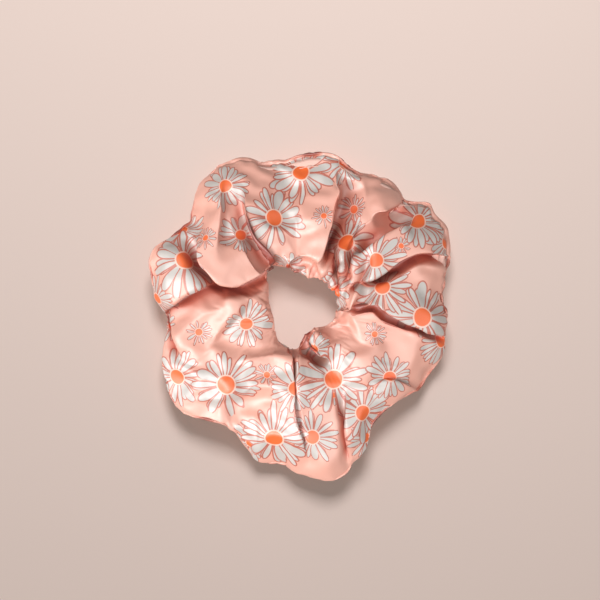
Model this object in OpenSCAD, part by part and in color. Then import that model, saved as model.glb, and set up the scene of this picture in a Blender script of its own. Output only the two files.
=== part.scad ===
// Satin scrunchie: a gathered cloth casing, closed into a ring around a loop of flat elastic.
// Millimetres. The scrunchie lies on the plane z = 0, and Z runs through its hair opening.
// The casing is drawn as a held half at x < 0 and a pulled half at x > 0, which a stretch parts.

/* [Casing] */
// Longest distance across the ring, along Y
ring_d = 119; // [110:1:135]
// Mean width of the hair opening
hole_d = 27; // [22:0.5:30]
// Height of the gathered tube
tube_h = 25; // [20:0.5:30]
// Thickness of the casing wall, which stands for the pleated cloth
wall = 1; // [0.8:0.1:1.4]
// Width of the seam allowance inside the outer edge
allowance_w = 6; // [4:0.5:7]
// Gap between the two halves at rest
half_gap = 0.5; // [0.3:0.1:1]

/* [Elastic] */
// Length of the closed elastic loop
elastic_loop = 157; // [150:1:170]
// Width of the flat elastic
elastic_w = 6; // [4:0.5:8]
// Thickness of the flat elastic
elastic_t = 1.2; // [0.8:0.1:1.6]
// Length over which its two ends are lapped
elastic_lap = 12; // [8:1:16]

/* [Thread] */
// Thickness of the sewing thread
thread_d = 0.4; // [0.3:0.05:0.5]
// Stitch length of the straight seams
stitch_len = 3; // [2.5:0.25:5]

/* [Hidden] */

satin = [0.93, 0.70, 0.60];
braid = [0.95, 0.94, 0.91];
thread = [0.90, 0.62, 0.52];

// Ruffled outer edge and crumpled edge of the hair opening as [clock angle, radius],
// anticlockwise from +X, for a ring of 119 with an opening of 27
outer_edge = [
    [0, 53.7], [8, 53.5], [21, 59.0], [36, 60.5], [41, 63.5], [49, 57.2], [58, 60], [68, 58],
    [84, 59.9], [96, 57.6], [106, 58.3], [119, 62.8], [128, 60.3], [134, 57.3], [145, 55],
    [158, 58.8], [166, 56], [178, 49.2], [190, 50], [205, 54], [213, 56], [222, 54],
    [235, 48.4], [246, 51.5], [253, 55.9], [264, 55.6], [277, 60.0], [285, 60.7], [292, 55.5],
    [300, 50.5], [311, 46.7], [322, 49], [331, 52.3], [343, 54.2]
];
opening_edge = [
    [0, 13.6], [10, 14.4], [28, 15.8], [55, 15.9], [76, 13.7], [100, 15.3], [112, 18.3],
    [121, 21.5], [134, 16.7], [162, 12.3], [196, 10.3], [232, 11.3], [253, 12], [266, 10.5],
    [280, 7.5], [300, 6.9], [318, 7.4], [338, 10.2]
];
ring_scale = ring_d / 119;
opening_scale = hole_d / 27;

sides = 16;                  // corners of the tube's section
ring_step = 5;               // degrees between sections
squareness = 0.8;            // 1 gives an ellipse, less gives a boxier section
sit = 1.3;                   // how far the rounded underside is pressed flat
crown = 0.04;                // share of the height by which the top rises and falls
crown_waves = 7;
allowance_t = 1;             // both layers of the seam allowance
gap = 0.15;                  // air between a thread and what it lies on
stitch_arch = 0.25;          // how far the middle of a stitch stands up
seam_z = tube_h / 2;
rest_gap = 2.6;              // how far above the casing's floor the elastic lies
elastic_z = wall + rest_gap + elastic_w / 2;
closing_x = half_gap / 2 + 2 * thread_d;  // how far the closing seam lies from the gap

elastic_r = elastic_loop / (2 * PI);
elastic_in = elastic_r - elastic_t / 2;
lap_out = elastic_r + elastic_t * 1.5;
elastic_centre = [0.5, 4.5];
lap_angle = elastic_lap / elastic_loop * 360;
zigzag_w = 3.6;
zigzags = 7;

// Radius on a closed [angle, radius] list at angle a, rounded between its points
function eased(u) = (1 - cos(180 * u)) / 2;
function edge(list, a) =
    let (b = a - 360 * floor(a / 360))
    let (passed = [for (i = [0:len(list) - 1]) if (list[i][0] <= b) i])
    let (i = passed[len(passed) - 1])
    let (lo = list[i], hi = i + 1 < len(list) ? list[i + 1] : [360, list[0][1]])
    lo[1] + (hi[1] - lo[1]) * eased((b - lo[0]) / (hi[0] - lo[0]));
function outer_r(a) = ring_scale * edge(outer_edge, a);
function opening_r(a) = opening_scale * edge(opening_edge, a);
function top_z(a) = tube_h * (1 - crown + crown * cos(crown_waves * a + 20));

function boxy(v) = sign(v) * pow(abs(v), squareness);

// Corner t of the section at clock angle a, moved inwards by inset: [radius, z].
// t is 0 at the outer edge and 90 at the top.
function corner(a, t, inset) =
    let (out = outer_r(a) - inset, in = opening_r(a) + inset)
    let (low = inset - sit, high = top_z(a) - inset)
    let (z = (low + high) / 2 + (high - low) / 2 * boxy(sin(t)))
    [(out + in) / 2 + (out - in) / 2 * boxy(cos(t)), max(z, inset)];

function skin(a) = [for (k = [0:sides - 1]) corner(a, 360 / sides * k, 0)];

// The lining follows the skin, but its first corner is drawn out into the seam allowance
function lining(a) =
    let (root = outer_r(a) - wall, tip = root - allowance_w)
    let (up = seam_z + allowance_t / 2, down = seam_z - allowance_t / 2)
    concat(
        [[tip, down], [tip, up], [root, up]],
        [for (k = [1:sides - 1]) corner(a, 360 / sides * k, wall)],
        [[root, down]]
    );

// A section corner in space, kept on its own side of the gap
function placed(p, a, side) =
    let (x = p[0] * cos(a))
    [side * max(side * x, half_gap / 2), p[0] * sin(a), p[1]];

// One half of the casing: side is 1 for x > 0 and -1 for x < 0
module casing_half(side) {
    first = side > 0 ? -90 : 90;
    angles = [for (a = [first:ring_step:first + 180]) a];
    last = len(angles) - 1;
    lined = sides + 3;
    start = (last + 1) * sides;
    points = concat(
        [for (a = angles) for (p = skin(a)) placed(p, a, side)],
        [for (a = angles) for (p = lining(a)) placed(p, a, side)]
    );
    function s(i, k) = i * sides + (k + sides) % sides;
    function l(i, k) = start + i * lined + (k + lined) % lined;
    skin_faces = [for (i = [0:last - 1]) for (k = [0:sides - 1]) each [
        [s(i, k), s(i, k + 1), s(i + 1, k + 1)],
        [s(i, k), s(i + 1, k + 1), s(i + 1, k)]
    ]];
    lining_faces = [for (i = [0:last - 1]) for (k = [0:lined - 1]) each [
        [l(i, k), l(i + 1, k + 1), l(i, k + 1)],
        [l(i, k), l(i + 1, k), l(i + 1, k + 1)]
    ]];
    // Lining corners 0 to 2 and the last are the allowance; corner k + 2 lies under skin corner k
    function rim(i) = concat(
        [for (k = [1:sides - 2]) each [
            [s(i, k), l(i, k + 3), s(i, k + 1)],
            [s(i, k), l(i, k + 2), l(i, k + 3)]
        ]],
        [
            [s(i, 0), l(i, 2), s(i, 1)],
            [s(i, 1), l(i, 2), l(i, 3)],
            [s(i, 0), l(i, lined - 1), l(i, 2)],
            [l(i, 2), l(i, lined - 1), l(i, 1)],
            [l(i, 1), l(i, lined - 1), l(i, 0)],
            [s(i, 0), s(i, sides - 1), l(i, lined - 1)],
            [s(i, sides - 1), l(i, lined - 2), l(i, lined - 1)]
        ]
    );
    function flipped(faces) = [for (f = faces) [f[0], f[2], f[1]]];
    color(satin)
        polyhedron(points, concat(skin_faces, lining_faces, rim(0), flipped(rim(last))));
}

// A thread of square section along a path; a closed one joins its last point to its first
module thread_along(path, closed) {
    n = len(path);
    function along(i) = let (
        before = closed ? path[(i + n - 1) % n] : path[max(i - 1, 0)],
        after = closed ? path[(i + 1) % n] : path[min(i + 1, n - 1)]
    ) (after - before) / norm(after - before);
    r = thread_d / 2;
    rings = [for (i = [0:n - 1])
        let (d = along(i))
        let (side = cross(d, abs(d[2]) < 0.9 ? [0, 0, 1] : [1, 0, 0]))
        let (u = side / norm(side), v = cross(d, u))
        [path[i] + r * u, path[i] + r * v, path[i] - r * u, path[i] - r * v]];
    points = [for (ring = rings) each ring];
    stretches = closed ? n - 1 : n - 2;
    walls = [for (i = [0:stretches]) for (k = [0:3])
        let (j = (i + 1) % n, m = (k + 1) % 4)
        each [[4 * i + k, 4 * j + k, 4 * j + m], [4 * i + k, 4 * j + m, 4 * i + m]]];
    e = 4 * (n - 1);
    ends = closed ? [] : [[0, 1, 2], [0, 2, 3], [e, e + 2, e + 1], [e, e + 3, e + 2]];
    color(thread) polyhedron(points, concat(walls, ends));
}

// Lengthwise seam: a row of stitches above (up = 1) or below (up = -1) the allowance
module side_seam(up) {
    seam_length = PI * ring_d * 0.88;
    stitches = round(seam_length / stitch_len);
    lie = allowance_t / 2 + gap + thread_d / 2;
    thread_along([for (i = [0:2 * stitches - 1])
        let (a = 180 / stitches * i, r = outer_r(a) - wall - allowance_w / 2)
        [r * cos(a), r * sin(a), seam_z + up * (lie + (i % 2) * stitch_arch)]], true);
}

// Closing seam where the tube's two ends meet: a thread round the section, inside it,
// from just above the allowance to just below it
module closing_seam(x) {
    inset = wall + gap + 2.5 * thread_d;
    thread_along([for (k = [1:sides - 1])
        let (p = corner(270, 360 / sides * k, inset))
        [x, -p[0], p[1]]], false);
}

// Zigzag that joins the lapped ends of the elastic, on the cylinder of radius r.
// Each turn is two points, a quarter of a stroke apart.
module elastic_join(r) {
    stroke = lap_angle * 0.8 / zigzags;
    thread_along([for (i = [0:zigzags]) for (corner = [-0.25, 0.25])
        let (a = 270 + stroke * (i - zigzags / 2 + corner))
        [
            elastic_centre[0] + r * cos(a),
            elastic_centre[1] + r * sin(a),
            elastic_z + zigzag_w / 2 * (i % 2 == 0 ? 1 : -1)
        ]], false);
}

module elastic_band() {
    color(braid) translate([elastic_centre[0], elastic_centre[1], elastic_z - elastic_w / 2]) {
        rotate_extrude($fn = 96)
            translate([elastic_in, 0])
                square([elastic_t, elastic_w]);
        rotate([0, 0, 270 - lap_angle / 2])
            rotate_extrude(angle = lap_angle, $fn = 96)
                translate([elastic_r, 0])
                    square([lap_out - elastic_r, elastic_w]);
    }
}

module casing_held_half() {
    casing_half(-1);
}

module casing_pulled_half() {
    casing_half(1);
}

module side_seam_needle_thread() {
    side_seam(1);
}

module side_seam_bobbin_thread() {
    side_seam(-1);
}

module closing_seam_needle_thread() {
    closing_seam(-closing_x);
}

module closing_seam_bobbin_thread() {
    closing_seam(-closing_x - 3 * thread_d);
}

module elastic_join_needle_thread() {
    elastic_join(lap_out + gap + thread_d / 2);
}

module elastic_join_bobbin_thread() {
    elastic_join(elastic_in - gap - thread_d / 2);
}

casing_held_half();
casing_pulled_half();
elastic_band();
side_seam_needle_thread();
side_seam_bobbin_thread();
closing_seam_needle_thread();
closing_seam_bobbin_thread();
elastic_join_needle_thread();
elastic_join_bobbin_thread();
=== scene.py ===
"""Satin scrunchie lying flat, built round the CAD frame."""
import heapq
import math
import bpy
import numpy as np
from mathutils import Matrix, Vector
from mathutils.bvhtree import BVHTree


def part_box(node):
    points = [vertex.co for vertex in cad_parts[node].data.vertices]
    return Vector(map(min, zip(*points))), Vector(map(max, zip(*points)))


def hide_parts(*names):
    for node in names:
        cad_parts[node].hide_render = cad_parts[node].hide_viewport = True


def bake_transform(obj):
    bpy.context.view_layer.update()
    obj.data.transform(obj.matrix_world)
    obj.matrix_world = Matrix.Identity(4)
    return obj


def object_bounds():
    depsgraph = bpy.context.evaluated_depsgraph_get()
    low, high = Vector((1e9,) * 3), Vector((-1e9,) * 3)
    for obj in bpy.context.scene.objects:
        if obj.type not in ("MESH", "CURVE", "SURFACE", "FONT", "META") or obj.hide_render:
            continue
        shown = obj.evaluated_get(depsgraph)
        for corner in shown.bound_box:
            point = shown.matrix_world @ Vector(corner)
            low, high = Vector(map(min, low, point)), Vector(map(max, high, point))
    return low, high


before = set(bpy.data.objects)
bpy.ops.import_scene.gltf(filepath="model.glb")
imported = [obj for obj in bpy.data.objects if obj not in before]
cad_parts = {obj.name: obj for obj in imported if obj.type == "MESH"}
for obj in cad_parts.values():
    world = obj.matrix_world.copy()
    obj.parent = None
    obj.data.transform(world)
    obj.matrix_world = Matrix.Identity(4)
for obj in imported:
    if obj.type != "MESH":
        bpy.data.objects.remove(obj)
cad_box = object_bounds()

MM = 0.001

# ---------------------------------------------------------------- the ring, in millimetres
# Everything is laid out on a ring 119 mm long and then scaled to the CAD casing's own length.
RING_LENGTH = 119
SCALE = (cad_box[1][1] - cad_box[0][1]) / (RING_LENGTH * MM)
RINGS = 480             # sections round the ring
CORNERS = 150           # points round each section, from the side seam over the top and back below
EDGE_HEIGHT = 10.5      # of the outer edge over the floor
OPENING_HEIGHT = 11.5   # of the opening's edge
CROWN = 17.8            # of the middle of the upper side, before the folds
BELLY = -3.0            # how low the underside would hang without the floor
FLOOR_GAP = 0.4         # lowest that the cloth's middle may lie
CEILING = 19            # height above which folds are pressed down
SEAM_RISE = 0.3         # how far the side seam rolls up over the edge at the upper right, in radians
SEAM_RISE_AT = 62       # clock angle of the middle of that stretch, in degrees from +X
CORNER_STEP = 0.75      # rough distance between two points of a section
FLAT_WIDTH = 100        # of the casing's strip of cloth
FLAT_LENGTH = 300

# The elastic loop inside, from the CAD band. Its lapped ends make the band's box longer at -Y.
band_low, band_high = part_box("elastic_band")
BAND_R = (band_high[0] - band_low[0]) / 2 / MM
BAND_CENTRE = ((band_low[0] + band_high[0]) / 2 / MM, band_high[1] / MM - BAND_R)
BAND_Z = (band_low[2] + band_high[2]) / 2 / MM
BAND_WIDTH = (band_high[2] - band_low[2]) / MM
BAND_THICK = (BAND_CENTRE[1] - BAND_R) - band_low[1] / MM

# Ruffled outer edge as (clock angle in degrees, radius), anticlockwise from +X
OUTER_EDGE = (
    (0.6, 53.7), (8, 53.5), (15, 55.6), (19, 58.2), (24, 60.0), (30, 60.9), (37, 60.8), (41, 63.3),
    (44, 60.3), (48, 57.0), (52, 59.2), (58, 60.0), (65.5, 58.0), (71, 58.1), (79, 59.6), (87.5, 59.8),
    (95, 57.7), (104, 58.1), (112, 61.2), (119, 62.6), (127, 60.7), (133, 57.4), (139, 54.7),
    (150, 55.5), (155, 58.2), (161, 58.2), (167, 55.8), (174, 52.9), (179, 49.3), (185, 48.8),
    (196, 51.2), (206, 53.9), (212, 56.0), (219, 55.4), (226, 52.0), (235, 48.4), (242, 49.2),
    (250, 53.3), (253, 55.9), (263, 55.4), (272, 57.5), (277, 59.7), (281, 60.9), (287, 59.6),
    (290.5, 56.3), (297, 52.7), (304, 48.0), (312, 46.7), (319.5, 47.5), (327.5, 51.9),
    (337, 53.2), (344, 54.2), (353, 53.3),
)
# Crumpled edge of the hair opening, the same way
OPENING_EDGE = (
    (0, 13.6), (9.6, 14.4), (28, 15.8), (41, 15.9), (55, 15.7), (76, 13.7), (100, 15.3), (112, 18.3),
    (121, 21.3), (128, 19.0), (134.5, 16.0), (148, 13.6), (162, 12.3), (180, 10.9), (196, 10.3),
    (214, 10.4), (232, 11.3), (253, 12.2), (262, 11.6), (273, 8.9), (285, 7.0), (300, 6.8), (316, 7.1),
    (328, 8.6), (338, 10.2), (354, 12.9),
)


def round_ring(points, angles):
    """Smooth closed curve through (angle, value) points, read at these angles."""
    step, reach, margin = 0.25, 1.3, 24
    fine = np.arange(0, 360, step)
    coarse = np.interp(fine, *zip(*points), period=360)
    kernel = np.exp(-0.5 * (np.arange(-margin, margin + 1) * step / reach) ** 2)
    wrapped = np.concatenate([coarse[-margin:], coarse, coarse[:margin]])
    soft = np.convolve(wrapped, kernel / kernel.sum(), "valid")
    return np.interp(angles, fine, soft, period=360)


def ease(x):
    x = np.clip(x, 0, 1)
    return x * x * (3 - 2 * x)


def curve_through(points, count):
    """Catmull-Rom curve through (x, y) points, as count points evenly spread."""
    p = np.array(points, float)
    p = np.vstack([2 * p[0] - p[1], p, 2 * p[-1] - p[-2]])
    fine = []
    for i in range(1, len(p) - 2):
        for u in np.linspace(0, 1, 24, endpoint=False):
            fine.append(0.5 * (
                2 * p[i] + (p[i + 1] - p[i - 1]) * u
                + (2 * p[i - 1] - 5 * p[i] + 4 * p[i + 1] - p[i + 2]) * u ** 2
                + (3 * p[i] - p[i - 1] - 3 * p[i + 1] + p[i + 2]) * u ** 3
            ))
    fine.append(p[-2])
    fine = np.array(fine)
    run = np.concatenate([[0], np.cumsum(np.linalg.norm(np.diff(fine, axis=0), axis=1))])
    at = np.linspace(0, run[-1], count)
    return np.column_stack([np.interp(at, run, fine[:, k]) for k in range(2)])


# Folds of the upper side, lowest layer first. A fold runs along its path; its flap lies to the
# left of the path's direction, stands `rise` above the cloth, and leans over the cloth on its
# right by `lean`, where a valley `dip` deep lies. `roll` is the radius of the bend, `reach` how
# far back the flap is lifted, and `bank` how far the cloth takes to come up out of the valley.
# The more a fold leans, the straighter its valley's far side is. `ends` says which ends of the
# path keep their full strength; the others fade out.
GATHER = dict(rise=2.2, dip=3.0, roll=0.9, lean=0.4, bank=1.8, ends=(False, True))
FOLDS = (
    dict(name="left hollow", path=((-49.3, 0.5), (-44.9, 4.9), (-39, 8.9), (-28.5, 12.6), (-22, 11.5)),
         rise=3.0, dip=6.0, roll=1.6, reach=9, lean=3.0, bank=6.5, ends=(True, False)),
    dict(name="left edge", path=((-47.5, 2.5), (-46.2, -4), (-43.8, -11.1), (-44.9, -16.2)),
         rise=1.6, dip=3.6, roll=1.2, reach=6, lean=1.6, bank=3.2, ends=(True, False)),
    dict(name="left flap",
         path=((-43.5, 28.4), (-38.3, 25), (-36.1, 19.5), (-32.5, 16.6), (-28.6, 14.2), (-23, 11.1),
               (-17.5, 13), (-10.5, 17.5)),
         rise=3.4, dip=5.8, roll=1.6, reach=11, lean=3.6, bank=4.2, ends=(False, True)),
    dict(name="upper left ridge", path=((-28.3, 20), (-28.0, 33), (-27.5, 44), (-27, 50)),
         rise=2.6, dip=2.4, roll=2.0, reach=7, lean=0.8, bank=5, ends=(False, False)),
    dict(name="upper left edge",
         path=((-22.8, 47), (-21.2, 40.3), (-19.3, 33), (-16.4, 27.6), (-13.9, 23.9), (-10.9, 19.5),
               (-8.0, 14)),
         rise=2.4, dip=4.6, roll=1.3, reach=9, lean=2.4, bank=3.3, ends=(False, False)),
    dict(name="top valley", path=((7.5, 15), (9, 26), (12.2, 34.5), (14.8, 44), (14.5, 54)),
         rise=3.4, dip=6.0, roll=1.7, reach=9, lean=2.2, bank=5, ends=(False, False)),
    dict(name="top dent", path=((3, 50), (-2, 40), (-3, 30)),
         rise=1.2, dip=1.6, roll=3.0, reach=5, lean=0.0, bank=7, ends=(False, False)),
    dict(name="lobe edge", path=((26, 34.5), (33.6, 38.3), (38.5, 41.5), (45, 46.5)),
         rise=2.8, dip=5.0, roll=1.3, reach=7, lean=2.2, bank=5, ends=(False, True)),
    dict(name="lower right edge",
         path=((47, -28.5), (43.4, -27.6), (37, -25), (31, -23.9), (24.8, -25.4)),
         rise=1.3, dip=1.0, roll=1.2, reach=8, lean=1.0, bank=3, ends=(True, False)),
    dict(name="right flap",
         path=((11.5, -1.0), (16.4, 1.2), (21.2, 3.0), (27, 4.0), (31, 0.9), (35.4, -0.9),
               (42.3, -3.8), (51, -7.5)),
         rise=3.4, dip=4.2, roll=1.2, reach=7, lean=2.4, bank=1.7, ends=(True, True)),
    dict(name="upper right valley",
         path=((42, 37.5), (38, 34.2), (31.8, 29.5), (25.9, 24.8), (19.5, 20.5)),
         rise=3.2, dip=5.4, roll=1.4, reach=5, lean=2.4, bank=4.5, ends=(False, False)),
    dict(name="upper right flap",
         path=((17.0, 8.2), (22.6, 11.5), (29.2, 14.8), (34.7, 18.1), (39.4, 21), (45, 22.5),
               (54, 20.6)),
         rise=3.4, dip=5.8, roll=1.4, reach=6.5, lean=2.8, bank=2.4, ends=(False, True)),
    dict(name="lower ridge", path=((15.6, -25.4), (16.6, -34.1), (17.6, -46.5), (18.4, -57)),
         rise=1.8, dip=1.9, roll=1.0, reach=8, lean=1.4, bank=2.2, ends=(False, False)),
    dict(name="closing fold",
         path=((4.5, -56), (1.1, -45.4), (-1.1, -36.3), (-2.2, -28.7), (-2.7, -20.6), (-3.3, -11)),
         rise=1.0, dip=1.3, roll=0.75, reach=5, lean=1.5, bank=1.3, ends=(False, True)),
    dict(name="hole curl", path=((5.2, -5.5), (2.2, -10.8), (5.8, -13.3), (10.2, -18.1)),
         rise=3.4, dip=4.4, roll=0.9, reach=3.6, lean=1.8, bank=2.0, ends=(True, False)),
    dict(name="hole arch", path=((-5.5, 13.7), (-2.9, 18.8), (1.1, 20.8), (4.7, 19.7), (6.8, 15.9)),
         rise=1.9, dip=2.0, roll=0.8, reach=3, lean=0.6, bank=2.2, ends=(True, True)),
    dict(GATHER, name="gather at left", reach=2.4,
         path=((13.5, 28), (14.6, 20), (15.2, 11), (14.2, 2.0))),
    dict(GATHER, name="gather in middle", reach=2.2,
         path=((21, 28), (19.6, 19), (17.6, 10), (14.8, 2.2))),
    dict(GATHER, name="gather at right", reach=2.4,
         path=((30.0, 23), (24.4, 16.5), (19.8, 8.5), (15.6, 2.2))),
    dict(GATHER, name="gather below", reach=2.2,
         path=((28.0, 9.6), (22.0, 5.4), (16.2, 1.4))),
    dict(name="lower left ridge", path=((-1.5, -14.0), (-9.0, -13.2), (-17, -13.6), (-25, -17.0)),
         rise=1.8, dip=0.8, roll=2.2, reach=5, lean=0.3, bank=6, ends=(True, False)),
    dict(name="lower left dip", path=((-31, -30), (-22, -28.5), (-12, -28), (-5, -27)),
         rise=0.6, dip=3.0, roll=3.0, reach=6, lean=0.0, bank=8, ends=(False, False)),
    dict(name="opening dip", path=((10.8, -2.2), (14.5, -1.0), (19, 0.8)),
         rise=0.0, dip=2.6, roll=1.2, reach=2, lean=0.0, bank=5, ends=(True, False)),
    dict(name="left crease", path=((-33, -12), (-27.4, -4.2), (-23.9, -0.2), (-17, 5)),
         rise=1.4, dip=1.4, roll=1.4, reach=5, lean=0.5, bank=5, ends=(False, False)),
)


FADE = 0.3              # share of a fold's length over which a fading end fades
PAST_END = 3.0          # how far a full-strength end carries on past its path, in mm
FULL_LEAN = 1.8         # lean from which a valley's far side is quite straight, in mm


def beside_path(path, xy):
    """Distance to a path (positive on its left), its left normal, how far along, its length, and
    how far past its ends."""
    start, step = path[:-1], np.diff(path, axis=0)
    length = np.linalg.norm(step, axis=1)
    best = np.full(len(xy), 1e9)
    seg = np.zeros(len(xy), int)
    frac = np.zeros(len(xy))
    for i in range(len(step)):
        u = np.clip(((xy - start[i]) @ step[i]) / length[i] ** 2, 0, 1)
        gap = np.linalg.norm(xy - start[i] - u[:, None] * step[i], axis=1)
        near = gap < best
        best[near], seg[near], frac[near] = gap[near], i, u[near]
    tangent = np.gradient(path, axis=0)
    tangent /= np.linalg.norm(tangent, axis=1)[:, None]
    t = tangent[seg] * (1 - frac[:, None]) + tangent[seg + 1] * frac[:, None]
    t /= np.linalg.norm(t, axis=1)[:, None]
    normal = np.column_stack([-t[:, 1], t[:, 0]])
    foot = path[seg] * (1 - frac[:, None]) + path[seg + 1] * frac[:, None]
    side = ((xy - foot) * normal).sum(1)
    past = ((xy - foot) * t).sum(1)
    total = length.sum()
    along = (np.concatenate([[0], np.cumsum(length)])[seg] + frac * length[seg])
    return side, normal, along, total, past


def bell(x, left, right):
    return np.where(x < 0, np.exp(-(x / left) ** 2), np.exp(-(x / right) ** 2))


def fold_cloth(points, weight, room):
    """Lays every fold into the upper side. points is (n, 3) in mm; weight is 1 on top and fades out
    below the edges, and room is how far the two sides lie apart, 0 to 1."""
    flat = points[:, :2].copy()
    for fold in FOLDS:
        path = curve_through(fold["path"], 60)
        side, normal, along, total, past = beside_path(path, flat)
        fade_in = 1.0 if fold["ends"][0] else ease(along / (FADE * total))
        fade_out = 1.0 if fold["ends"][1] else ease((total - along) / (FADE * total))
        strength = weight * fade_in * fade_out * np.exp(-(past / PAST_END) ** 2)
        roll = fold["roll"]
        side = side - max(0.85 * fold["lean"] - 0.8 * roll, 0)   # so the leaning edge lies on the path
        crest = bell(side - 0.8 * roll, roll, fold["reach"])
        nose = bell(side - 0.8 * roll, roll, 2.2 * roll)
        below = side + 1.1 * roll
        smooth = bell(below, fold["bank"], 1.1 * roll)
        crisp = np.where(below < 0, np.clip(1 + below / (1.4 * fold["bank"]), 0, 1), smooth)
        sharpness = min(fold["lean"] / FULL_LEAN, 1)
        valley = smooth + sharpness * (crisp - smooth)
        points[:, 2] += strength * (fold["rise"] * crest - fold["dip"] * valley) * room
        points[:, :2] -= (strength * fold["lean"] * nose * room)[:, None] * normal
    return points


def gathers(angles, seed, spacing):
    """Crisp radial pleats: 1 on a crest and 0 in a crease, at uneven spacing (degrees)."""
    rng = np.random.default_rng(seed)
    steps = rng.uniform(0.55, 1.6, int(round(360 / spacing)))
    knots = np.concatenate([[0], np.cumsum(steps)]) / steps.sum() * 360
    phase = np.interp(angles % 360, knots, np.arange(len(knots)))
    return np.abs(np.sin(np.pi * phase)) ** 0.75


def dents(points, seed, wavelength, count=28):
    """Smooth uneven swelling of the cloth from 3-D waves near one wavelength, about -1 to 1."""
    rng = np.random.default_rng(seed)
    total = np.zeros(len(points))
    for _ in range(count):
        direction = rng.normal(size=3)
        direction /= np.linalg.norm(direction)
        number = 2 * np.pi / (wavelength * rng.uniform(0.7, 1.5))
        total += np.cos(points @ (direction * number) + rng.uniform(0, 2 * np.pi))
    return total / math.sqrt(count / 2) / 1.6


def smoothed(grid, passes, share):
    """A grid round the ring and round its sections, each value moved towards its four neighbours."""
    for _ in range(passes):
        rings_beside = np.roll(grid, 1, 0) + np.roll(grid, -1, 0)
        around = (rings_beside + np.roll(grid, 1, 1) + np.roll(grid, -1, 1)) / 4
        grid = grid + share * (around - grid)
    return grid


def relax(points, passes, share):
    return smoothed(points.reshape(RINGS, CORNERS, 3), passes, share).reshape(-1, 3)


def keep_in_place(points, is_top):
    """Presses tall folds down, keeps the cloth over the elastic and off the floor."""
    high = np.maximum(points[:, 2] - CEILING, 0)
    points[:, 2] -= high - 5.5 * np.tanh(high / 8)
    from_centre = np.hypot(points[:, 0] - BAND_CENTRE[0], points[:, 1] - BAND_CENTRE[1])
    from_band = np.abs(from_centre - BAND_R)
    lowest = BAND_Z + BAND_WIDTH / 2 + 1.6 - 1.2 * np.maximum(from_band - 2.5, 0)
    points[:, 2] = np.where(is_top, np.maximum(points[:, 2], lowest), points[:, 2])
    points[:, 2] = np.maximum(points[:, 2], FLOOR_GAP)
    return points


def pucker(points):
    """Draws the cloth in along the side seam, with a small pleat at every stitch or two."""
    rng = np.random.default_rng(21)
    steps = rng.uniform(0.6, 1.5, 90)
    knots = np.concatenate([[0], np.cumsum(steps)]) / steps.sum() * RINGS
    phase = np.interp(np.arange(RINGS), knots, np.arange(len(knots)))
    turn = np.arange(RINGS) / RINGS * 2 * np.pi
    strength = 0.2 + 0.8 * ease((np.cos(turn - np.radians(55)) - 0.25) / 0.4)
    pleat = np.repeat((strength * np.cos(2 * np.pi * phase))[:, None], CORNERS, 1)
    from_seam = np.minimum(np.arange(CORNERS), CORNERS - np.arange(CORNERS)) * CORNER_STEP
    from_seam = np.repeat(from_seam[None, :], RINGS, 0)
    push = -0.6 * strength[:, None] * np.exp(-(from_seam / 0.9) ** 2)
    push = push + 0.4 * pleat * np.exp(-(from_seam / 2.6) ** 2)
    return points + push.reshape(-1, 1) * corner_normals(relax(points, 3, 0.5))


def casing_points():
    """The folded cloth, the same without its small creases, and which points are on the upper side."""
    angles = np.arange(RINGS) * 360 / RINGS
    turn = np.arange(CORNERS) / CORNERS * 2 * np.pi
    a, tau = np.meshgrid(np.radians(angles), turn, indexing="ij")
    tau = tau + SEAM_RISE * ease((np.cos(a - np.radians(SEAM_RISE_AT)) - 0.25) / 0.5)
    out = np.repeat(round_ring(OUTER_EDGE, angles)[:, None], CORNERS, 1)
    inner = np.repeat(round_ring(OPENING_EDGE, angles)[:, None], CORNERS, 1)
    across = (1 - np.cos(tau)) / 2          # 0 at the outer edge, 1 at the opening
    top = np.sin(tau) > 0
    edge_z = EDGE_HEIGHT + 2.2 * np.sin(5 * a + 0.6) + 1.3 * np.sin(9 * a + 2.1)
    inner_z = OPENING_HEIGHT + 1.0 * np.sin(4 * a + 1.0)
    rim_z = edge_z * (1 - across) + inner_z * across
    crown = CROWN + 1.2 * np.sin(3 * a + 0.5) + 0.8 * np.sin(7 * a)
    swell = (1 - np.abs(2 * across - 1) ** 2.3) ** (0.85 - 0.3 * across)
    upper_z = rim_z + (crown - rim_z) * swell
    lower_z = np.maximum(rim_z - (rim_z - BELLY) * swell ** 0.8, FLOOR_GAP)
    r = out + (inner - out) * across
    points = np.stack([r * np.cos(a), r * np.sin(a), np.where(top, upper_z, lower_z)], -1).reshape(-1, 3)

    weight = np.where(top, 1.0, ease(1 - across / 0.3) + ease(1 - (1 - across) / 0.3)).reshape(-1)
    room = np.clip(0.35 + swell.reshape(-1), 0, 1)
    points = fold_cloth(points, weight, room)
    plain = relax(points, 8, 0.5)
    points = crease(points, a.reshape(-1), across.reshape(-1), top.reshape(-1))
    return relax(points, 1, 0.5), plain, top.reshape(-1)


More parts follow.
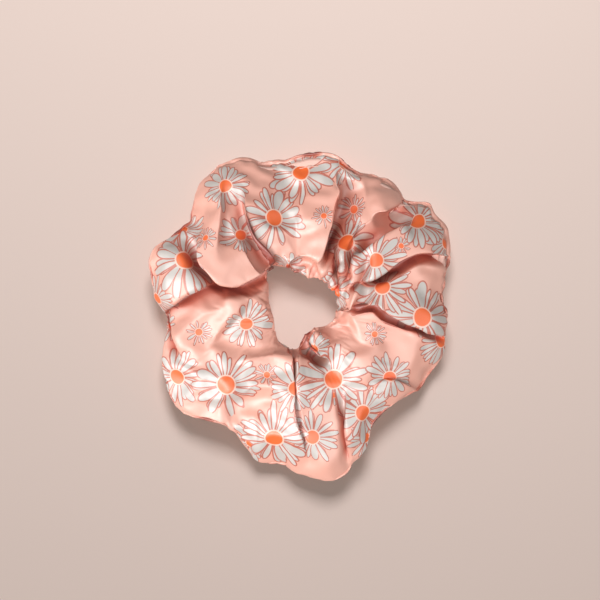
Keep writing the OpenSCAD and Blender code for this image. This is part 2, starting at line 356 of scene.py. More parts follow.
def crease(points, a, across, top):
    """Gathers at the opening, uneven swelling, ruffles below the outer edge and pleats underneath."""
    normals = corner_normals(relax(points, 3, 0.5))
    turn = np.degrees(a) + 3.0 * np.sin(across * 4 + a * 3)
    from_hole = (1 - across) * 40
    crowded = 0.1 + 0.9 * ease((np.cos(np.radians(turn - 40)) - 0.35) / 0.6)
    fine = gathers(turn, 3, 9.5) * np.exp(-(from_hole / 9) ** 2)
    broad = gathers(turn + 4, 8, 17) * np.exp(-((from_hole - 6) / 16) ** 2)
    push = crowded * (0.55 * fine + 0.9 * broad) - 0.5
    push += 0.9 * dents(points, 9, 32) + 0.5 * dents(points, 4, 17) + 0.25 * dents(points, 6, 7.5)
    wall = np.where(top, 0.0, ease(across / 0.06) * ease((0.45 - across) / 0.3))
    push += wall * (2.0 * gathers(turn + 2, 14, 13) - 1.2)
    points = points + push[:, None] * normals
    below = np.where(top, 0.0, ease(across / 0.15) * ease((1 - across) / 0.15))
    pleats = 2.4 * (1 - gathers(turn + 3, 17, 10)) + 0.8 * (1 + dents(points, 15, 13))
    points[:, 2] = np.where(top, points[:, 2], np.maximum(points[:, 2], FLOOR_GAP) + below * pleats)
    return points


# ---------------------------------------------------------------- cloth simulation
SIM_STEP = 2            # the simulated copy has every second ring and corner
SIM_FRAMES = 12
SIM_EASE = 0.035        # how much larger the cloth is than the shape it has to lie in
SIM_HOLD = 0.1          # how firmly each point is held in place
SIM_LIMIT = 1.8         # furthest that a point may move, in mm


def every_second(points):
    """The points of the coarser grid that has every second ring and corner."""
    return points.reshape(RINGS, CORNERS, 3)[::SIM_STEP, ::SIM_STEP].reshape(-1, 3)


def settle(points):
    """Cloth simulation: the cloth has a little more size than room, and buckles into creases."""
    rings, corners = RINGS // SIM_STEP, CORNERS // SIM_STEP
    start = every_second(points)
    cloth = new_mesh("cloth_simulation", start * MM, grid_faces(rings, corners)[0])
    held = cloth.vertex_groups.new(name="held")
    held.add(list(range(len(start))), SIM_HOLD, "REPLACE")
    simulation = cloth.modifiers.new("cloth", "CLOTH")
    satin_cloth = simulation.settings
    satin_cloth.quality = 4
    satin_cloth.mass = 0.1
    satin_cloth.bending_stiffness = 1.0
    satin_cloth.vertex_group_mass = "held"
    satin_cloth.shrink_min = satin_cloth.shrink_max = -SIM_EASE
    satin_cloth.effector_weights.gravity = 0
    simulation.collision_settings.use_collision = False
    simulation.point_cache.frame_start = 1
    simulation.point_cache.frame_end = SIM_FRAMES
    for frame_number in range(1, SIM_FRAMES + 1):
        bpy.context.scene.frame_set(frame_number)
    settled = cloth.evaluated_get(bpy.context.evaluated_depsgraph_get()).to_mesh()
    end = np.zeros(len(start) * 3)
    settled.vertices.foreach_get("co", end)
    bpy.data.objects.remove(cloth)
    bpy.context.scene.frame_set(1)
    move = end.reshape(-1, 3) / MM - start
    far = np.linalg.norm(move, axis=1) + 1e-9
    move *= (np.minimum(far, SIM_LIMIT) / far)[:, None]
    move = refine(refine(move.reshape(rings, corners, 3), 0), 1).reshape(-1, 3)
    return points + relax(move, 2, 0.5)


def refine(values, axis):
    """Values on the coarser grid, filled in between along one axis of the full grid."""
    after = np.roll(values, -1, axis)
    parts = [values + (after - values) * part / SIM_STEP for part in range(SIM_STEP)]
    shape = list(values.shape)
    shape[axis] *= SIM_STEP
    return np.stack(parts, axis + 1).reshape(shape)


# ---------------------------------------------------------------- depth of the folds
FOLD_REACH = 14         # how far away, in mm, cloth still counts as the side of a fold
RAYS = 20               # directions looked in from each point
RAY_START = 0.35        # distance in mm over the cloth at which they start
GOLDEN_TURN = 2.39996   # radians from one direction to the next, which spreads them evenly


def depth_in_folds(points, faces):
    """How much of the sky over each corner of the cloth is hidden within a few millimetres, 0 to 1."""
    tree = BVHTree.FromPolygons(points.tolist(), faces.tolist())
    spots = every_second(points)
    normals = every_second(corner_normals(relax(points, 2, 0.5)))
    side = np.cross(normals, (0.31, 0.17, 0.94))
    side /= np.linalg.norm(side, axis=1)[:, None]
    up = np.cross(normals, side)
    hidden = np.zeros(len(spots))
    for n in range(RAYS):
        lean = math.sqrt((n + 0.5) / RAYS) * 0.95
        turn = n * GOLDEN_TURN
        aside = side * (lean * math.cos(turn))
        ray = normals * math.sqrt(1 - lean * lean) + aside + up * (lean * math.sin(turn))
        origin = spots + normals * RAY_START
        for spot, (start, direction) in enumerate(zip(origin.tolist(), ray.tolist())):
            distance = tree.ray_cast(start, direction, FOLD_REACH)[3]
            if distance is not None:
                hidden[spot] += 1 - (distance / FOLD_REACH) ** 2
    hidden = (hidden / RAYS).reshape(RINGS // SIM_STEP, CORNERS // SIM_STEP)
    return refine(refine(smoothed(hidden, 2, 0.5), 0), 1).reshape(-1)


def grid_faces(rings=RINGS, corners=CORNERS):
    """Quads of the tube, and for each the ring and corner numbers of its four corners, unwrapped."""
    i, k = np.meshgrid(np.arange(rings), np.arange(corners), indexing="ij")
    i, k = i.reshape(-1), k.reshape(-1)
    ring = np.stack([i, i + 1, i + 1, i], -1)
    corner = np.stack([k, k, k + 1, k + 1], -1)
    return ring % rings * corners + corner % corners, ring, corner


def new_mesh(name, points, faces):
    mesh = bpy.data.meshes.new(name)
    mesh.from_pydata(points.tolist(), [], list(map(tuple, faces)))
    mesh.update()
    mesh.polygons.foreach_set("use_smooth", [True] * len(mesh.polygons))
    ob = bpy.data.objects.new(name, mesh)
    bpy.context.scene.collection.objects.link(ob)
    return ob


# ---------------------------------------------------------------- the daisy print
# A daisy is (x, y, petal radius) in millimetres, seen from above. Each is laid on the cloth from
# its own centre outwards, so it keeps its shape round a fold and goes out of sight under a flap.
DAISIES = (
    (-26.6, 47.3, 8.8), (-0.7, 52.4, 11.7), (-8.4, 35.6, 11.3), (-33.9, 29.0, 4.4), (-20.8, 30.1, 7.7),
    (7.7, 36.0, 4.0), (-40.5, 19.5, 12.8), (18.3, 39.2, 5.6), (16.4, 26.5, 10.8), (42.2, 35.2, 11.3),
    (27.4, 20.6, 10.0), (29.9, 10.8, 11.0), (44.2, -0.2, 12.8), (26.6, -7.1, 4.4), (33.2, -22.1, 8.8),
    (12.4, -22.8, 12.0), (23.4, -34.9, 10.3), (12.8, -28.7, 4.0), (-1.5, -26.5, 9.5),
    (-9.9, -44.7, 12.8), (5.1, -44.0, 8.8), (-11.3, -21.4, 4.3), (-27.0, -25.0, 12.0),
    (-45.3, -21.7, 10.3), (-19.3, -3.5, 8.8), (-37.2, -6.0, 4.7), (-51.8, 6.0, 8.0), (-4.0, 16.2, 7.0),
    (13.1, 8.6, 9.0), (-47.8, -3.8, 6.0), (-18.3, -46.9, 8.0), (24.5, -44.3, 7.0), (-43.8, 32.3, 8.0),
    (36.9, 25.0, 3.6), (51.5, -9.5, 9.0), (19.0, 56.6, 9.0), (55.5, 27.0, 8.5), (4.5, -12.5, 7.0),
)
LAYERS = 3              # daisies that may overlap at one place
CELL = 4                # spacing of the daisies' own coordinates, in petal radii
SPREAD = 1.35           # how far a daisy's coordinates are carried, in petal radii
SIZE_CLASSES = (5.8, 9.7)   # petal radii that part small, middling and large daisies
NO_DAISY = -100.0       # coordinate where a layer has no daisy
CRUMPLE = 1.0           # a corner may lie this far off in mm, over 1.2 times its coordinates

# The rest of the cloth is filled with these petal radii in turn, at random places
OTHER_RADII = (12.0, 10.5, 9.0, 4.4, 8.2, 4.0)
TRIES = 6000
MOST_DAISIES = 170
SMALL_SHARE = 0.25      # most of the daisies that may be small
CLOSENESS = 0.86        # distance between two centres, as a share of their radii together


def neighbours(index):
    """The corners round one on the cloth. The side seam, between the last and first corner, parts it."""
    i, k = divmod(index, CORNERS)
    for di in (-1, 0, 1):
        for dk in (-1, 0, 1):
            if (di or dk) and 0 <= k + dk < CORNERS:
                yield (i + di) % RINGS * CORNERS + k + dk


def lay_out(centre, radius, turn, points, normals):
    """Carries flat coordinates over the cloth from centre, as {corner: (x, y) in radii}."""
    n = normals[centre]
    e = (math.cos(turn), math.sin(turn), 0.0)
    if abs(n[0] * e[0] + n[1] * e[1]) > 0.9:
        e = (0.0, 0.0, 1.0)
    gathered = {centre: [1.0, 0.0, 0.0, *e]}
    heap = [(0.0, centre)]
    flat = {}
    while heap:
        far, at = heapq.heappop(heap)
        if at in flat:
            continue
        w, x, y, ex, ey, ez = gathered[at]
        x, y = x / w, y / w
        if math.dist(points[at], points[centre]) > 1.2 * math.hypot(x, y) + CRUMPLE:
            continue
        flat[at] = (x / radius, y / radius)
        if far > SPREAD * radius:
            continue
        nx, ny, nz = normals[at]
        dot = ex * nx + ey * ny + ez * nz
        ex, ey, ez = ex - dot * nx, ey - dot * ny, ez - dot * nz
        size = math.sqrt(ex * ex + ey * ey + ez * ez)
        ex, ey, ez = ex / size, ey / size, ez / size
        fx, fy, fz = ny * ez - nz * ey, nz * ex - nx * ez, nx * ey - ny * ex
        px, py, pz = points[at]
        for to in neighbours(at):
            if to in flat:
                continue
            qx, qy, qz = points[to]
            dx, dy, dz = qx - px, qy - py, qz - pz
            whole = math.sqrt(dx * dx + dy * dy + dz * dz) + 1e-9
            u, v = dx * ex + dy * ey + dz * ez, dx * fx + dy * fy + dz * fz
            part = math.sqrt(u * u + v * v) + 1e-9
            u, v = x + u * whole / part, y + v * whole / part
            share = 1 / whole
            sums = gathered.setdefault(to, [0.0] * 6)
            for n, value in enumerate((1.0, u, v, ex, ey, ez)):
                sums[n] += share * value
            heapq.heappush(heap, (math.hypot(u, v), to))
    return flat


def place_daisies(points, normals):
    """(centre corner, petal radius) of every daisy: the listed ones, then the rest of the cloth."""
    placed = []
    for x, y, radius in DAISIES:
        near = np.hypot(points[:, 0] - x, points[:, 1] - y) < 0.8
        if not near.any():
            near = np.hypot(points[:, 0] - x, points[:, 1] - y) < 3.0
        found = np.flatnonzero(near)
        placed.append((int(found[np.argmax(points[found, 2])]), radius))
    rng = np.random.default_rng(12)
    area = corner_areas(points)
    seen = points[top_most(points) & (normals[:, 2] > 0.1)][::3]
    small_ones = sum(radius < SIZE_CLASSES[0] for _, radius in placed)
    for n, at in enumerate(rng.choice(len(points), TRIES, p=area / area.sum())):
        radius = OTHER_RADII[n % len(OTHER_RADII)]
        spot = points[at]
        is_small = radius < SIZE_CLASSES[0]
        if len(placed) > MOST_DAISIES or is_small and small_ones > SMALL_SHARE * len(placed):
            continue
        if np.linalg.norm(seen - spot, axis=1).min() < (1.1 if is_small else 0.9) * radius:
            continue
        if all(np.linalg.norm(points[c] - spot) > CLOSENESS * (radius + r) for c, r in placed):
            placed.append((int(at), radius))
            small_ones += is_small
    return placed


def top_most(points):
    """Which corners are seen from straight above, on a grid of 0.8 mm cells."""
    cell = np.floor(points[:, :2] / 0.8).astype(int)
    cell -= cell.min(0)
    key = cell[:, 0] * 1000 + cell[:, 1]
    highest = np.full(key.max() + 1, -1e9)
    np.maximum.at(highest, key, points[:, 2])
    return points[:, 2] > highest[key] - 1.5


def corner_areas(points):
    """Area of the quad beside each corner."""
    grid = points.reshape(RINGS, CORNERS, 3)
    side = np.roll(grid, -1, 0) - grid
    up = np.roll(grid, -1, 1) - grid
    return np.linalg.norm(np.cross(side, up), axis=2).reshape(-1)


def corner_normals(points):
    grid = points.reshape(RINGS, CORNERS, 3)
    side = np.roll(grid, -1, 0) - np.roll(grid, 1, 0)
    up = np.roll(grid, -1, 1) - np.roll(grid, 1, 1)
    n = np.cross(side, up).reshape(-1, 3)
    return n / np.linalg.norm(n, axis=1)[:, None]


def print_daisies(mesh, points, faces):
    """Writes the daisies' own coordinates into UV maps, one for each overlapping layer. points is
    the cloth without its small creases, which would upset the layout."""
    normals = corner_normals(points)
    spots = [tuple(p) for p in points.tolist()]
    facing = [tuple(n) for n in normals.tolist()]
    maps = [np.full((len(faces), 4, 2), NO_DAISY) for _ in range(LAYERS)]
    used = np.zeros(len(faces), int)
    rng = np.random.default_rng(5)
    for number, (centre, radius) in enumerate(place_daisies(points, normals)):
        flat = lay_out(centre, radius, rng.uniform(0, 2 * math.pi), spots, facing)
        local = np.full((len(points), 2), np.nan)
        local[list(flat.keys())] = list(flat.values())
        on = local[faces]
        reach = np.hypot(on[..., 0], on[..., 1])
        with np.errstate(invalid="ignore"):
            cover = (reach < SPREAD).all(1) & (reach.min(1) < 1.05)
        kind = sum(radius > limit for limit in SIZE_CLASSES)
        at = np.array([number, kind]) * CELL
        for layer in range(LAYERS):
            mine = cover & (used == layer)
            maps[layer][mine] = on[mine] + at
        used[cover] += 1
    for layer, values in enumerate(maps):
        uv = mesh.uv_layers.new(name=f"daisy_{layer + 1}")
        uv.data.foreach_set("uv", values.reshape(-1).astype(np.float32))


# ---------------------------------------------------------------- materials
class Value:
    """A number in a node tree: arithmetic on it adds Math nodes."""
    tree = None

    def __init__(self, socket):
        self.socket = socket

    @classmethod
    def math(cls, operation, *inputs, clamp=False):
        node = add_node("Math")
        node.operation = operation
        node.use_clamp = clamp
        for socket, value in zip(node.inputs, inputs):
            feed(value, socket)
        return cls(node.outputs[0])

    def __add__(self, other):
        return Value.math("ADD", self, other)

    def __radd__(self, other):
        return Value.math("ADD", other, self)

    def __sub__(self, other):
        return Value.math("SUBTRACT", self, other)

    def __rsub__(self, other):
        return Value.math("SUBTRACT", other, self)

    def __mul__(self, other):
        return Value.math("MULTIPLY", self, other)

    def __rmul__(self, other):
        return Value.math("MULTIPLY", other, self)

    def __truediv__(self, other):
        return Value.math("DIVIDE", self, other)

    def __lt__(self, other):
        return Value.math("LESS_THAN", self, other)

    def __gt__(self, other):
        return Value.math("GREATER_THAN", self, other)


def feed(value, socket):
    """Links a Value or a socket to this socket, or sets the socket to a constant."""
    if isinstance(value, Value):
        value = value.socket
    if isinstance(value, bpy.types.NodeSocket):
        Value.tree.links.new(value, socket)
    else:
        socket.default_value = value


def add_node(kind, **inputs):
    node = Value.tree.nodes.new(f"ShaderNode{kind}")
    for name, value in inputs.items():
        feed(value, node.inputs[name])
    return node


def split(socket):
    return [Value(out) for out in add_node("SeparateXYZ", Vector=socket).outputs]


def random3(x, y, z):
    """Three random numbers from 0 to 1 for whole numbers x, y and z."""
    place = add_node("CombineXYZ", X=x, Y=y, Z=z).outputs[0]
    noise = add_node("TexWhiteNoise", Vector=place)
    return split(noise.outputs["Color"])


def mix_colour(factor, a, b):
    """Colour a where factor is 0 and b where it is 1. Each is a socket or an (r, g, b)."""
    node = add_node("Mix")
    node.data_type = "RGBA"
    feed(factor, node.inputs[0])
    for socket, colour in ((node.inputs[6], a), (node.inputs[7], b)):
        feed((*colour, 1) if isinstance(colour, tuple) else colour, socket)
    return node.outputs[2]


def multiply_colour(a, b):
    product = mix_colour(1.0, a, b)
    product.node.blend_type = "MULTIPLY"
    return product


# Colours of the print, from the cloth up, and the painted shade in its folds
GROUND = (0.80, 0.40, 0.31)
PETAL = (0.64, 0.59, 0.55)
PETAL_GREY = (0.52, 0.475, 0.44)
OUTLINE = (0.50, 0.13, 0.085)
HALO = (0.84, 0.52, 0.42)
EYE = (0.86, 0.14, 0.022)
FOLD_PAINTED_SHADE = (0.64, 0.33, 0.265)     # painted shade: multiplies the colour in the folds
POCKET_PAINTED_SHADE = (0.58, 0.32, 0.28)    # painted shade again, darker still, in the deepest pockets
WHITE = (1.0, 1.0, 1.0)
EYE_RADIUS = 0.235                  # in petal radii
HALO_WIDTH = 0.045


def petals(angle, r, flower, count, phase, tip, half_width, line, seed):
    """One ring of petals: (inside, outline, tone) for polar coordinates in petal radii."""
    turn = angle * count + phase
    number = Value.math("FLOOR", turn)
    wrapped = Value.math("FLOORED_MODULO", number, count)
    jitter, length, width = random3(wrapped, flower, seed)
    off = (turn - number - 0.5 + (jitter - 0.5) * 0.34) / count * (2 * math.pi)
    base = 0.2
    end = (length * 0.34 + 0.66) * (tip - 0.24) + 0.24
    half = (end - base) * 0.5
    along = (Value.math("COSINE", off) * r - base) / half - 1.0
    wide = half_width * (width * width * 0.75 + 0.78) * (along * 0.3 + 0.86)
    aside = Value.math("SINE", off) * r / wide
    level = Value.math("SQRT", along * along + aside * aside) + 0.0001
    slope = Value.math("SQRT", along * along / (half * half) + aside * aside / (wide * wide))
    gap = (level - 1.0) * level / (slope + 0.001)
    inside = gap < line * 0.5
    edge = Value.math("LESS_THAN", Value.math("ABSOLUTE", gap), line * 0.5)
    return inside, edge, width


def daisy_group():
    """Node group: a daisy's colour and cover from one daisy UV map, over the colour below."""
    tree = bpy.data.node_groups.new("daisy", "ShaderNodeTree")
    tree.interface.new_socket("Map", in_out="INPUT", socket_type="NodeSocketVector")
    tree.interface.new_socket("Below", in_out="INPUT", socket_type="NodeSocketColor")
    tree.interface.new_socket("Color", in_out="OUTPUT", socket_type="NodeSocketColor")
    source = tree.nodes.new("NodeGroupInput")
    result = tree.nodes.new("NodeGroupOutput")
    Value.tree = tree
    u, v, _ = split(source.outputs["Map"])
    flower = Value.math("ROUND", u / CELL)
    kind = Value.math("ROUND", v / CELL)
    x = u - flower * CELL
    y = v - kind * CELL
    r = Value.math("SQRT", x * x + y * y)
    angle = Value.math("ARCTAN2", y, x) / (2 * math.pi)
    small = kind < 0.5
    line = small * 0.022 + 0.04
    colour = source.outputs["Below"]
    on = u > NO_DAISY / 2
    rings = (
        # count, phase, tip, half width, used on small daisies, used on larger ones
        (15, 0.2, 1.07, 0.095, 0.0, 1.0),
        (12, 0.0, 1.16, 0.118, 0.0, 1.0),
        (10, 0.5, 1.0, 0.085, 1.0, 0.0),
        (9, 0.0, 1.1, 0.09, 1.0, 0.0),
    )
    for seed, (count, phase, tip, half_width, on_small, on_large) in enumerate(rings):
        shape = (count, phase, tip, half_width)
        inside, edge, tone = petals(angle, r, flower, *shape, line, seed)
        shown = on * (small * on_small + (1.0 - small) * on_large)
        fill = mix_colour(tone * 0.9, PETAL, PETAL_GREY)
        colour = mix_colour(inside * shown, colour, fill)
        colour = mix_colour(edge * shown, colour, OUTLINE)
    wobble = random3(flower, 3.0, 9.0)[0]
    eye = EYE_RADIUS + wobble * 0.03
    colour = mix_colour((r < eye + HALO_WIDTH) * on, colour, HALO)
    colour = mix_colour((r < eye) * on, colour, EYE)
    tree.links.new(colour, result.inputs["Color"])
    return tree


def satin():
    """Printed satin: the daisies over the ground, with painted shade that makes the folds darker and
    redder, and glossy thread streaks.
    """
    mat = bpy.data.materials.new("satin")
    mat.use_nodes = True
    group = daisy_group()
    Value.tree = mat.node_tree
    ground = add_node("RGB").outputs[0]
    ground.default_value = (*GROUND, 1)
    colour = ground
    for layer in reversed(range(LAYERS)):
        uv = add_node("UVMap")
        uv.uv_map = f"daisy_{layer + 1}"
        daisies = add_node("Group")
        daisies.node_tree = group
        feed(uv.outputs[0], daisies.inputs["Map"])
        feed(colour, daisies.inputs["Below"])
        colour = daisies.outputs["Color"]
    # Painted shade: the colour is darkened and reddened where the cloth's own folds hide the sky over
    # it.
    hidden = add_node("Attribute")
    hidden.attribute_name = "depth"
    depth = Value(hidden.outputs["Fac"])
    fold = mix_colour(Value.math("MULTIPLY", depth - 0.08, 2.4, clamp=True), WHITE, FOLD_PAINTED_SHADE)
    pocket_painted_shade = mix_colour(Value.math("MULTIPLY", depth - 0.45, 3.0, clamp=True), WHITE, POCKET_PAINTED_SHADE)
    b = mat.node_tree.nodes["Principled BSDF"]
    feed(multiply_colour(colour, multiply_colour(fold, pocket_painted_shade)), b.inputs["Base Color"])
    cloth = add_node("UVMap")
    cloth.uv_map = "cloth"
    along = add_node("Mapping", Vector=cloth.outputs[0], Scale=(1.2, 7.0, 1.0)).outputs[0]
    streaks = Value(add_node("TexNoise", Vector=along, Scale=1.0, Detail=2.0).outputs["Fac"])
    feed(streaks * 0.2 + 0.38, b.inputs["Roughness"])
    add_relief(b, streaks, 0.35, 0.05)
    b.inputs["Anisotropic"].default_value = 0.4
    b.inputs["IOR"].default_value = 1.7
    b.inputs["Specular IOR Level"].default_value = 0.75
    return mat


def add_relief(shader, height, strength, depth_mm):
    """Bump on a shader from a height of 0 to 1."""
    bump = add_node("Bump", Strength=strength, Distance=depth_mm * MM, Height=height)
    feed(bump.outputs[0], shader.inputs["Normal"])


def plain_material(name, colour, roughness, grain, depth_mm):
    """Matt textile finish with a fine grain."""
    mat = bpy.data.materials.new(name)
    mat.use_nodes = True
    Value.tree = mat.node_tree
    b = mat.node_tree.nodes["Principled BSDF"]
    place = add_node("TexCoord").outputs["Object"]
    grey = Value(add_node("TexNoise", Vector=place, Scale=grain).outputs["Fac"])
    darker = tuple(0.8 * c for c in colour)
    feed(mix_colour(grey, darker, colour), b.inputs["Base Color"])
    b.inputs["Roughness"].default_value = roughness
    add_relief(b, grey, 0.4, depth_mm)
    return mat


# ---------------------------------------------------------------- inside the casing
THREAD_D = 0.4
STITCH = 3.0
ALLOWANCE = 6.0         # how far the seam allowance reaches inwards
ALLOWANCE_STEPS = 6
SEAM_GAP = 1.4          # from the side seam's edge to where the allowance starts inside
LAP = 12.0              # overlap of the elastic's ends
LAP_ANGLE = LAP / (2 * math.pi * BAND_R) * 360
CLIMB_ANGLE = 12.0      # over which the upper end climbs onto the lower one, in degrees
CORDS = 9               # cords across the braid
ZIGZAG_WIDTH = 3.6
ZIGZAG_STROKES = 7
CLOSING_ANGLE = 264     # clock angle of the closing seam, in degrees from +X


def ring_faces(rings, corners, closed):
    """Quads of a tube of point rings, closed into a ring or with its ends capped."""
    last = rings if closed else rings - 1
    faces = []
    for i in range(last):
        for k in range(corners):
            j, m = (i + 1) % rings, (k + 1) % corners
            faces.append((i * corners + k, j * corners + k, j * corners + m, i * corners + m))
    if not closed:
        faces.append(tuple(range(corners)))
        faces.append(tuple((rings - 1) * corners + k for k in reversed(range(corners))))
    return faces


def thread(name, path, closed):
    """A thread of two twisted strands along a path in mm."""
    radius, corners, twist = THREAD_D / 2, 10, 1.1
    path = np.array(path, float)
    ahead = np.roll(path, -1, 0) - np.roll(path, 1, 0)
    if not closed:
        ahead[0], ahead[-1] = path[1] - path[0], path[-1] - path[-2]
    ahead /= np.linalg.norm(ahead, axis=1)[:, None]
    side = np.cross(ahead, (0.12, 0.05, 0.99))
    side /= np.linalg.norm(side, axis=1)[:, None]
    up = np.cross(side, ahead)
    run = np.concatenate([[0], np.cumsum(np.linalg.norm(np.diff(path, axis=0), axis=1))])
    angle = np.arange(corners) / corners * 2 * np.pi
    lobes = 0.78 + 0.22 * np.abs(np.cos(angle[None, :] - twist * run[:, None] / radius / 3))
    ring = side[:, None] * np.cos(angle)[None, :, None] + up[:, None] * np.sin(angle)[None, :, None]
    points = path[:, None] + radius * lobes[:, :, None] * ring
    return new_mesh(name, points.reshape(-1, 3) * MM, ring_faces(len(path), corners, closed))


def stitches(line, up, closed):
    """Lockstitch along a line of points: a thread that lies above it and dips at every stitch."""
    run = np.concatenate([[0], np.cumsum(np.linalg.norm(np.diff(line, axis=0), axis=1))])
    count = int(round(run[-1] / STITCH))
    at = np.linspace(0, run[-1], count * 6, endpoint=not closed)
    path = np.column_stack([np.interp(at, run, line[:, k]) for k in range(3)])
    lift = 0.16 + 0.30 * np.abs(np.sin(np.pi * at / run[-1] * count)) ** 0.5
    rise = np.column_stack([np.interp(at, run, up[:, k]) for k in range(3)])
    return path + lift[:, None] * rise


def braided_band():
    """Flat braided elastic, its ends lapped at -Y."""
    low = 270 - LAP_ANGLE / 2
    angle = np.radians(np.linspace(low, low + 360 + LAP_ANGLE, 640))
    over = ease((np.degrees(angle) - low - (360 - CLIMB_ANGLE)) / CLIMB_ANGLE)
    half_w, half_t = BAND_WIDTH / 2, BAND_THICK / 2
    across = np.concatenate([np.linspace(-1, 1, 33), np.linspace(1, -1, 33)])
    face = np.concatenate([np.ones(33), -np.ones(33)])
    edge = np.sqrt(np.clip(1 - np.abs(across) ** 10, 0, 1))
    run = angle[:, None] * BAND_R
    cord = (across[None, :] + 1) * CORDS / 2
    cords = np.abs(np.sin(np.pi * cord))
    plait = np.cos(2 * np.pi * (run / 1.15 + np.abs(cord % 2 - 1) * 0.5))
    thick = half_t * (0.84 + 0.10 * cords + 0.06 * plait) * edge[None, :]
    radius = BAND_R - half_t + BAND_THICK * over[:, None] + face[None, :] * thick
    height = BAND_Z + half_w * across[None, :] * (1 + 0.012 * plait)
    points = np.stack([
        BAND_CENTRE[0] + radius * np.cos(angle)[:, None],
        BAND_CENTRE[1] + radius * np.sin(angle)[:, None],
        height,
    ], -1)
    faces = ring_faces(len(angle), len(across), False)
    return new_mesh("elastic_loop", points.reshape(-1, 3) * MM, faces)


def elastic_zigzag(name, radius):
    """Zigzag through the lapped ends of the elastic."""
    angles = np.radians(270 + (np.linspace(0, 1, 85) - 0.5) * LAP_ANGLE * 0.8)
    strokes = np.linspace(0, ZIGZAG_STROKES, 85)
    height = BAND_Z + ZIGZAG_WIDTH * (np.abs((strokes + 1) % 2 - 1) - 0.5)
    x = BAND_CENTRE[0] + radius * np.cos(angles)
    y = BAND_CENTRE[1] + radius * np.sin(angles)
    return thread(name, np.column_stack([x, y, height]), False)


def midway(points):
    """Lines from the side seam inwards, midway between the upper and the lower side."""
    smooth = relax(points, 6, 0.5).reshape(RINGS, CORNERS, 3)
    count = np.arange(1, 32)
    return (smooth[:, count] + smooth[:, -count]) / 2


def inside_seam(lines, distance):
    """The points this far in along each of the lines."""
    run = np.cumsum(np.linalg.norm(np.diff(lines, axis=1), axis=2), axis=1)
    run = np.concatenate([np.zeros((RINGS, 1)), run], 1)
    return np.array([
        [np.interp(distance, far, line[:, axis]) for axis in range(3)]
        for far, line in zip(run, lines)
    ])


def crosses_joint(piece, slot, material, *nodes):
    """The piece stands for these CAD nodes, which are hidden; it gets its material and its placement is
    baked into its mesh.
    """
    piece.data.materials.append(material)
    if nodes:
        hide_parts(*nodes)
    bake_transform(piece)


# ---------------------------------------------------------------- the pieces
def make_casing(points, plain, finish):
    """The closed cloth tube with its print."""
    faces, ring_of, corner_of = grid_faces()
    casing = new_mesh("casing", points * MM, faces)
    print_daisies(casing.data, plain, faces)
    # How much sky the folds hide at each point; the satin paints shade into its colour from this.
    depth = casing.data.attributes.new("depth", "FLOAT", "POINT")
    depth.data.foreach_set("value", depth_in_folds(points, faces).astype(np.float32))
    cloth_map = casing.data.uv_layers.new(name="cloth")
    flat = np.stack([ring_of * FLAT_LENGTH / RINGS, corner_of * FLAT_WIDTH / CORNERS], -1)
    cloth_map.data.foreach_set("uv", flat.reshape(-1).astype(np.float32))
    cloth = casing.modifiers.new("cloth", "SOLIDIFY")
    cloth.thickness = 0.25 * MM
    cloth.offset = -1
    crosses_joint(casing, "satin", finish, "casing_held_half", "casing_pulled_half")
    return casing


def make_allowance(lines):
    """The two seam allowances, pressed together, standing in from the side seam."""
    reach = np.arange(ALLOWANCE_STEPS + 1) * ALLOWANCE / ALLOWANCE_STEPS
    points = np.stack([inside_seam(lines, SEAM_GAP + far) for far in reach], 1).reshape(-1, 3)
    across = len(reach)
    i, k = np.meshgrid(np.arange(RINGS), np.arange(across - 1), indexing="ij")
    here = (i * across + k).reshape(-1)
    ahead = ((i + 1) % RINGS * across + k).reshape(-1)
    faces = np.stack([here, ahead, ahead + 1, here + 1], -1)
    allowance = new_mesh("seam_allowance", points * MM, faces)
    layers = allowance.modifiers.new("two_layers", "SOLIDIFY")
    layers.thickness = 0.5 * MM
    layers.offset = 0
    crosses_joint(allowance, "satin", plain_material("satin_back", (0.80, 0.50, 0.42), 0.6, 2500, 0.03))
    return allowance


def sew_side_seam(lines, finish):
    middle = inside_seam(lines, SEAM_GAP + ALLOWANCE / 2)
    middle = np.vstack([middle, middle[:1]])
    upwards = np.repeat([[0.0, 0.0, 1.0]], len(middle), 0)
    for way, name in ((1, "needle"), (-1, "bobbin")):
        lie = middle + way * 0.35 * upwards
        seam = thread(f"side_seam_{name}", stitches(lie, way * upwards, True), True)
        crosses_joint(seam, "sewing_thread", finish, f"side_seam_{name}_thread")


def sew_closing_seam(points, finish):
    """Round the section where the tube's two ends meet."""
    inside = relax(points - 2.6 * corner_normals(relax(points, 4, 0.5)), 8, 0.5)
    inside = inside.reshape(RINGS, CORNERS, 3)
    ring = round(CLOSING_ANGLE / 360 * RINGS)
    for offset, name in ((0, "needle"), (-2, "bobbin")):
        line = inside[ring + offset, 10:CORNERS - 9]
        line[:, 2] = np.maximum(line[:, 2], 1.2)
        inner = inside[ring].mean(0) - line
        inner /= np.linalg.norm(inner, axis=1)[:, None]
        seam = thread(f"closing_seam_{name}", stitches(line, inner, False), False)
        crosses_joint(seam, "sewing_thread", finish, f"closing_seam_{name}_thread")


def make_elastic(finish):
    band = braided_band()
    braided = plain_material("braided_elastic", (0.86, 0.84, 0.80), 0.8, 3000, 0.05)
    crosses_joint(band, "braided_elastic", braided, "elastic_band")
    proud = BAND_THICK + THREAD_D / 2
    for radius, name in ((BAND_R + proud, "needle"), (BAND_R - proud, "bobbin")):
        join = elastic_zigzag(f"elastic_join_{name}", radius)
        crosses_joint(join, "sewing_thread", finish, f"elastic_join_{name}_thread")


pts, plain_pts, is_top = casing_points()
pts = settle(pts)
pts = keep_in_place(pucker(pts), is_top) * SCALE
casing = make_casing(pts, plain_pts * SCALE, satin())
middle_lines = midway(pts)
allowance = make_allowance(middle_lines)
sewing = plain_material("sewing_thread", (0.80, 0.45, 0.36), 0.55, 6000, 0.02)
sew_side_seam(middle_lines, sewing)
sew_closing_seam(pts, sewing)
make_elastic(sewing)


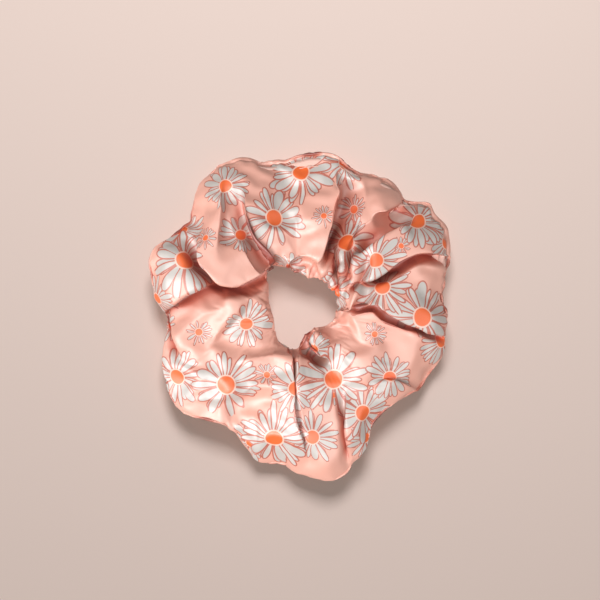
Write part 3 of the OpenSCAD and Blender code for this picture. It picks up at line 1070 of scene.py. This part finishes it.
# ---------------------------------------------------------------- floor, camera and light
def make_floor():
    bpy.ops.mesh.primitive_plane_add(size=12, location=(0, 0, 0))
    floor = bpy.context.object
    floor.name = "floor"
    plaster = bpy.data.materials.new("floor")
    plaster.use_nodes = True
    shader = plaster.node_tree.nodes["Principled BSDF"]
    shader.inputs["Base Color"].default_value = (0.78, 0.63, 0.575, 1)
    shader.inputs["Roughness"].default_value = 0.9
    floor.data.materials.append(plaster)
    return floor


def make_camera():
    """Straight above, so high that the view is 219 mm wide at half the ring's height."""
    lens, sensor, view, ring_middle = 85, 36, 0.219, 0.012
    data = bpy.data.cameras.new("camera")
    data.lens = lens
    camera = bpy.data.objects.new("camera", data)
    bpy.context.scene.collection.objects.link(camera)
    camera.location = (0, 0.0057, ring_middle + view * lens / sensor)
    bpy.context.scene.camera = camera


def only_on(light, objects):
    """The light falls on these objects alone."""
    receivers = bpy.data.collections.new(f"lit_by_{light.name}")
    for ob in objects:
        receivers.objects.link(ob)
    light.light_linking.receiver_collection = receivers


def add_light(name, kind, strength, objects):
    data = bpy.data.lights.new(name, kind)
    data.energy = strength
    light = bpy.data.objects.new(name, data)
    bpy.context.scene.collection.objects.link(light)
    only_on(light, objects)
    return light


def area(name, place, size, watts, objects):
    """Square light aimed at the scrunchie."""
    light = add_light(name, "AREA", watts, objects)
    light.data.size = size
    light.location = place
    aim = Vector((0, 0, 0.01)) - Vector(place)
    light.rotation_euler = aim.to_track_quat("-Z", "Y").to_euler()
    return light


floor = make_floor()
make_camera()
pieces = [ob for ob in bpy.context.scene.objects if ob.type == "MESH" and ob != floor]
area("key", (-0.31, -0.20, 0.56), 0.35, 3.6, pieces)
area("fill", (-0.45, -0.1, 0.4), 0.4, 1.2, pieces)
soft = area("soft", (0.24, -0.16, 0.55), 0.5, 1.7, pieces)
soft.data.use_shadow = False
glint = area("glint", (-0.5, -0.12, 0.3), 0.3, 0.8, pieces)
glint.visible_diffuse = False
area("drop", (0.0, 0.42, 0.6), 0.24, 3.9, [floor])
wash = add_light("wash", "SUN", 0.62, [floor])
wash.data.color = (1.0, 1.0, 0.92)
wash.data.use_shadow = False
world = bpy.data.worlds.new("w")
bpy.context.scene.world = world
world.use_nodes = True
world.node_tree.nodes["Background"].inputs[0].default_value = (1, 0.98, 0.96, 1)
world.node_tree.nodes["Background"].inputs[1].default_value = 0.14
bpy.context.scene.view_settings.view_transform = "Standard"
